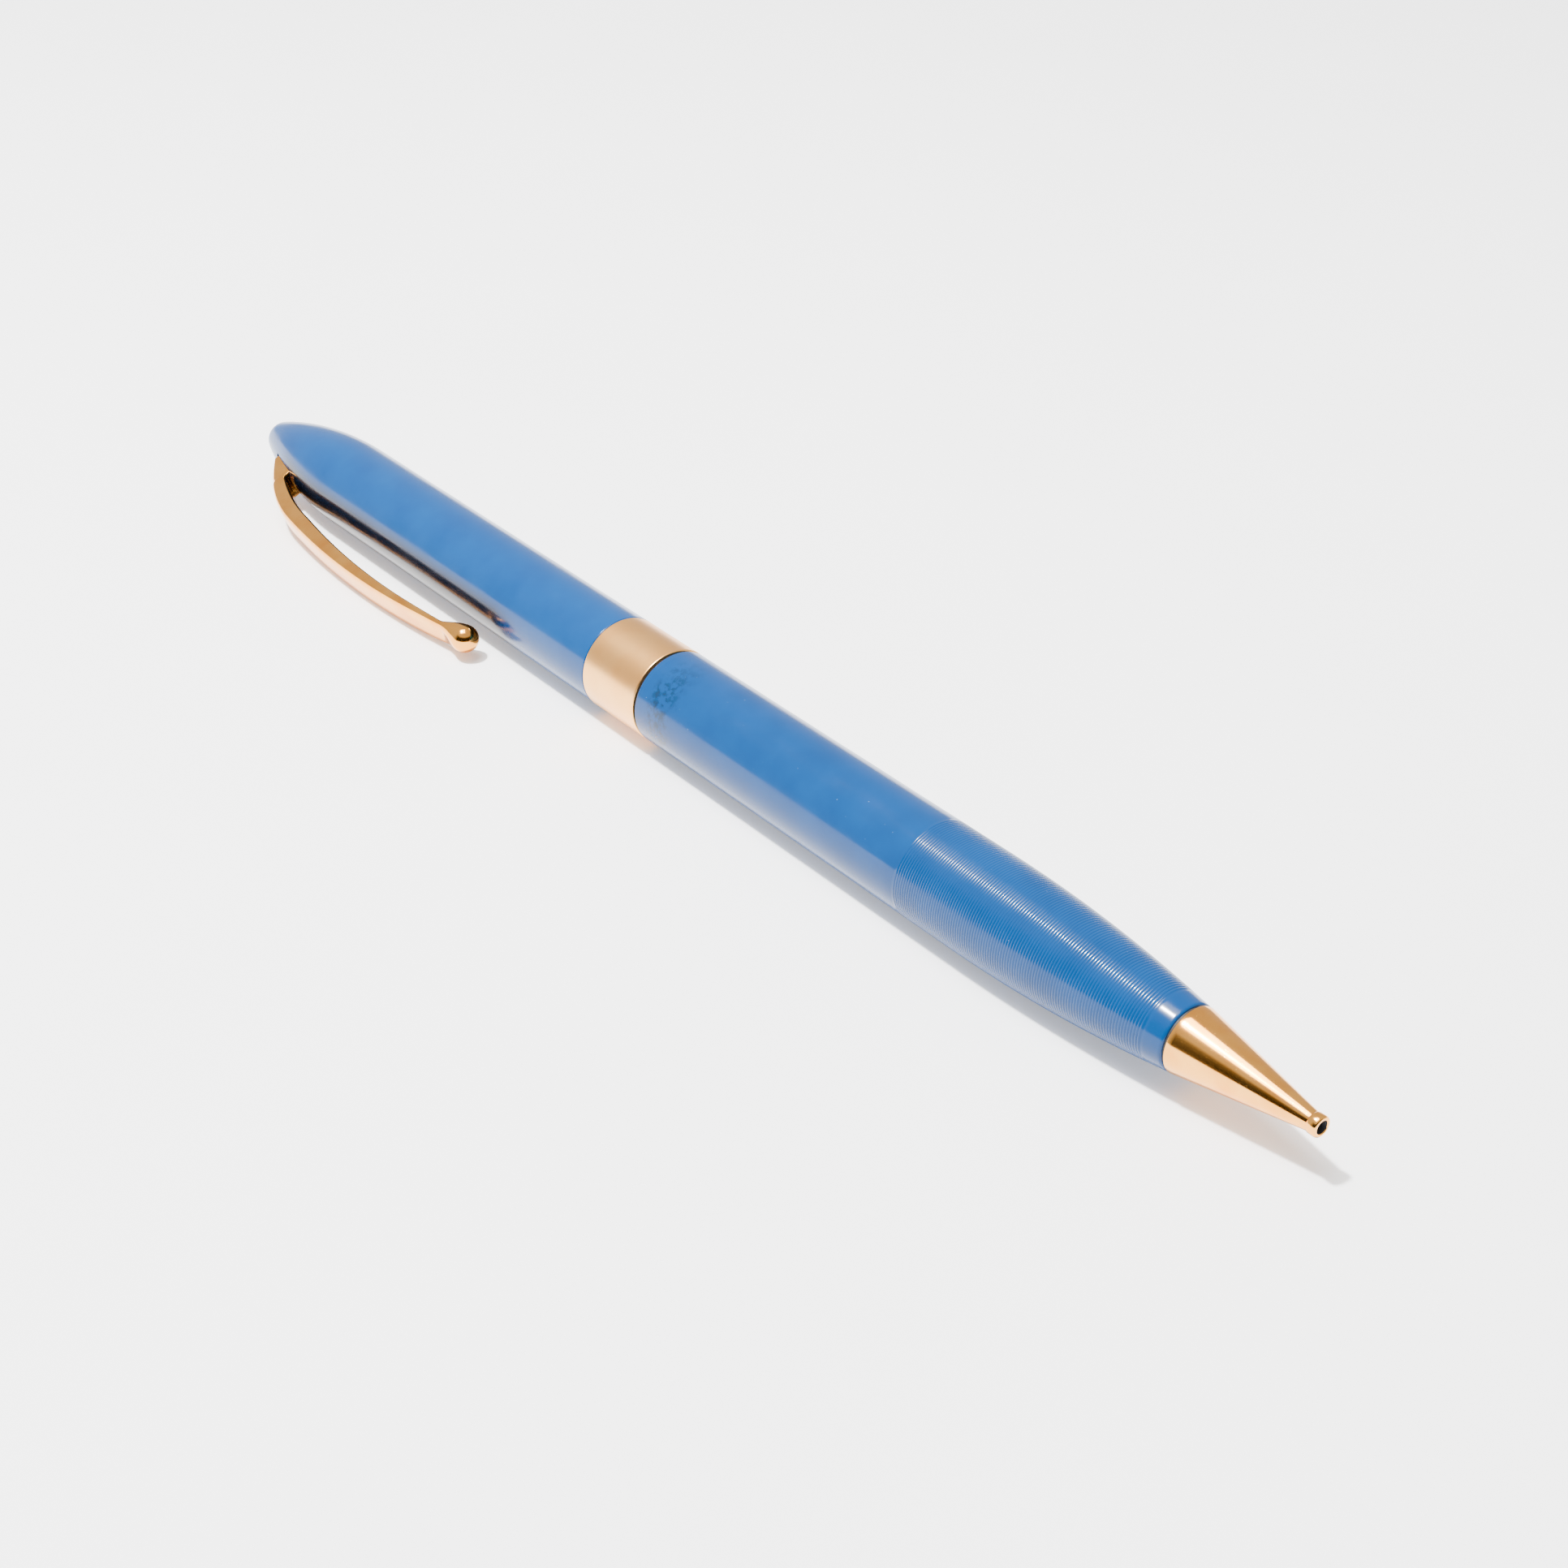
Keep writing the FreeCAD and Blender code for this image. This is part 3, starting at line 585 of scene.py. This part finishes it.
def clip():
    """The arched spring clip, drawn in to a round ball, with its narrow tail and hub."""
    bm = bmesh.new()
    root_steps, strip_steps = 8, 72
    strip_x, narrowing_x = 8.75, 36.0
    stations = [CLIP_X + (SHOULDER_X - CLIP_X) * k / root_steps for k in range(root_steps + 1)]
    stations += [strip_x + (NECK_X - strip_x) * k / strip_steps
                 for k in range(strip_steps + 1)]
    loops = []
    for x in stations:
        drawn_in = max(0.0, (x - narrowing_x) / (NECK_X - narrowing_x)) ** 2
        width = HALF_WIDTH - (HALF_WIDTH - BALL_R) * drawn_in
        loops.append([bm.verts.new(p)
                      for p in clip_loop(x, width, clip_top(x), clip_under(x))])
    loops += [[bm.verts.new(p) for p in loop] for loop in ball_loops()]
    for one, two in zip(loops, loops[1:]):
        for k in range(len(one)):
            m = (k + 1) % len(one)
            bm.faces.new((one[k], one[m], two[m], two[k]))
    bm.faces.new(loops[0][::-1])
    bm.faces.new(loops[-1])
    add_tail(bm)
    bmesh.ops.recalc_face_normals(bm, faces=bm.faces)
    mesh = bpy.data.meshes.new("clip_skin")
    bm.to_mesh(mesh)
    bm.free()
    piece = finish_piece("clip_skin", mesh, GOLD, "pocket_clip", "clip")
    sharpen(piece)


def add_tail(bm):
    """The narrow tail that ends in a hub round the hinge pin."""
    hub_x, hub_height, hub_r, steps = 6.9, 0.6, 0.85, 20
    root_height, half_width = 2.4, 0.6
    outline = [(hub_x - hub_r, root_height), (hub_x - hub_r, hub_height)]
    outline += [(hub_x - hub_r * math.cos(a), hub_height - hub_r * math.sin(a))
                for a in (math.pi * k / steps for k in range(1, steps))]
    outline += [(hub_x + hub_r, hub_height), (hub_x + hub_r, root_height)]
    sides = [[bm.verts.new(bench(x, h, side)) for x, h in outline]
             for side in (-half_width, half_width)]
    for k in range(len(outline)):
        m = (k + 1) % len(outline)
        bm.faces.new((sides[0][k], sides[0][m], sides[1][m], sides[1][k]))
    bm.faces.new(sides[0][::-1])
    bm.faces.new(sides[1])


# ---- carried-over CAD nodes ------------------------------------------------------------------

def dress_nodes():
    """Gives every CAD node the material of its slot.

    The insert is brass, but it is painted black: painted shade for the dark line where its flange shows.
    """
    slots = {s["node"]: s["material_slot"] for s in frame["record"]["subparts"]}
    for name, node in frame["nodes"].items():
        material = SLOT_MATERIAL[slots[name]]
        # Painted shade: the brass insert is drawn black.
        if name == "barrel_insert":
            material = BLACK
        if not node.data.materials:
            node.data.materials.append(material)
        for k in range(len(node.data.materials)):
            node.data.materials[k] = material


# ---- stage ----------------------------------------------------------------------------------

def floor():
    """The pale sheet that the pencil lies on."""
    mesh = bpy.data.meshes.new("floor")
    half = 2.5
    mesh.from_pydata([(-half, -half, 0), (half, -half, 0), (half, half, 0), (-half, half, 0)],
                     [], [(0, 1, 2, 3)])
    plane = bpy.data.objects.new("floor", mesh)
    bpy.context.scene.collection.objects.link(plane)
    n = Nodes("floor_paper")
    grain = n.noise(40, 3)
    n.join(n.mix(n.remap(grain, 0.3, 0.7, 0, 1), (0.93, 0.93, 0.93, 1), (0.91, 0.91, 0.91, 1)),
           n.shader.inputs["Base Color"])
    n.shader.inputs["Roughness"].default_value = 0.7
    n.shader.inputs["Specular IOR Level"].default_value = 0.2
    n.shader.inputs["Emission Color"].default_value = (1, 1, 1, 1)
    n.shader.inputs["Emission Strength"].default_value = 0.45
    mesh.materials.append(n.material)


def area_light(name, place, target, size, power):
    data = bpy.data.lights.new(name, "AREA")
    data.energy = power
    data.size = size
    light = bpy.data.objects.new(name, data)
    light.location = place
    light.rotation_mode = "QUATERNION"
    light.rotation_quaternion = (target - place).to_track_quat("-Z", "Y")
    bpy.context.scene.collection.objects.link(light)


def lights():
    """A small hard key light, a broad soft one beside it, and the sky."""
    nose_spot = AXIS + Vector((NOSE_SEAM_X, 0, 0))
    towards_key, key_distance = Vector((-0.281, -0.25, 0.926)), 0.6
    area_light("key", nose_spot + towards_key * key_distance, nose_spot, 0.045, 12.0)
    area_light("soft_top", AXIS + Vector((-0.1, -0.16, 0.88)), AXIS, 0.5, 10.0)
    world = bpy.data.worlds.new("studio")
    bpy.context.scene.world = world
    world.use_nodes = True
    studio_sky(world.node_tree)


def studio_sky(tree):
    """A white sweep all round, with a dark room that only shows in reflections.

    It is low down, on the side that the nose and the clip point to. Each ramp's stops are
    (position, brightness), for the height and for that side.
    """
    back = tree.nodes["Background"]
    place = tree.nodes.new("ShaderNodeTexCoord")
    split = tree.nodes.new("ShaderNodeSeparateXYZ")
    front = tree.nodes.new("ShaderNodeVectorMath")
    front.operation = "DOT_PRODUCT"
    front.inputs[1].default_value = (0.787, -0.617, 0)
    ramps = []
    for source, stops in ((split.outputs["Z"], ((0.0, 0.02), (0.5, 0.05), (0.66, 1.0))),
                          (front.outputs["Value"], ((0.1, 1.0), (0.45, 0.0), (1.0, 0.0)))):
        ramp = tree.nodes.new("ShaderNodeValToRGB")
        ramp.color_ramp.elements[0].position = stops[0][0]
        ramp.color_ramp.elements[0].color = (stops[0][1],) * 3 + (1,)
        ramp.color_ramp.elements[1].position = stops[2][0]
        ramp.color_ramp.elements[1].color = (stops[2][1],) * 3 + (1,)
        ramp.color_ramp.elements.new(stops[1][0]).color = (stops[1][1],) * 3 + (1,)
        tree.links.new(source, ramp.inputs["Fac"])
        ramps.append(ramp)
    light = tree.nodes.new("ShaderNodeMath")
    light.operation = "MAXIMUM"
    tree.links.new(place.outputs["Generated"], split.inputs["Vector"])
    tree.links.new(place.outputs["Generated"], front.inputs[0])
    for ramp, socket in zip(ramps, light.inputs):
        tree.links.new(ramp.outputs["Color"], socket)
    seen = tree.nodes.new("ShaderNodeLightPath")
    shown = tree.nodes.new("ShaderNodeMath")
    shown.operation = "MAXIMUM"
    tree.links.new(light.outputs["Value"], shown.inputs[0])
    tree.links.new(seen.outputs["Is Camera Ray"], shown.inputs[1])
    tree.links.new(shown.outputs["Value"], back.inputs["Color"])
    back.inputs["Strength"].default_value = 0.95


def camera():
    """Looks down past the nose; place and aim are measured from the middle of the seam."""
    data = bpy.data.cameras.new("camera")
    data.sensor_width = 36
    data.lens = 59.63
    cam = bpy.data.objects.new("camera", data)
    right = Vector((0.6174, 0.7867, 0)).normalized()
    ahead = Vector((-0.6691, 0.5251, -0.526)).normalized()
    up = right.cross(ahead)
    turn = Matrix((right, up, -ahead)).transposed().to_4x4()
    seat = AXIS + Vector((SEAM_X, 0, 0)) + Vector((149.88, -106.39, 105.3)) * MM
    cam.matrix_world = Matrix.Translation(seat) @ turn
    data.clip_start, data.clip_end = 0.005, 10
    bpy.context.scene.collection.objects.link(cam)
    bpy.context.scene.camera = cam


camera()
barrel()
nose()
cap()
band()
clip()
dress_nodes()
floor()
lights()
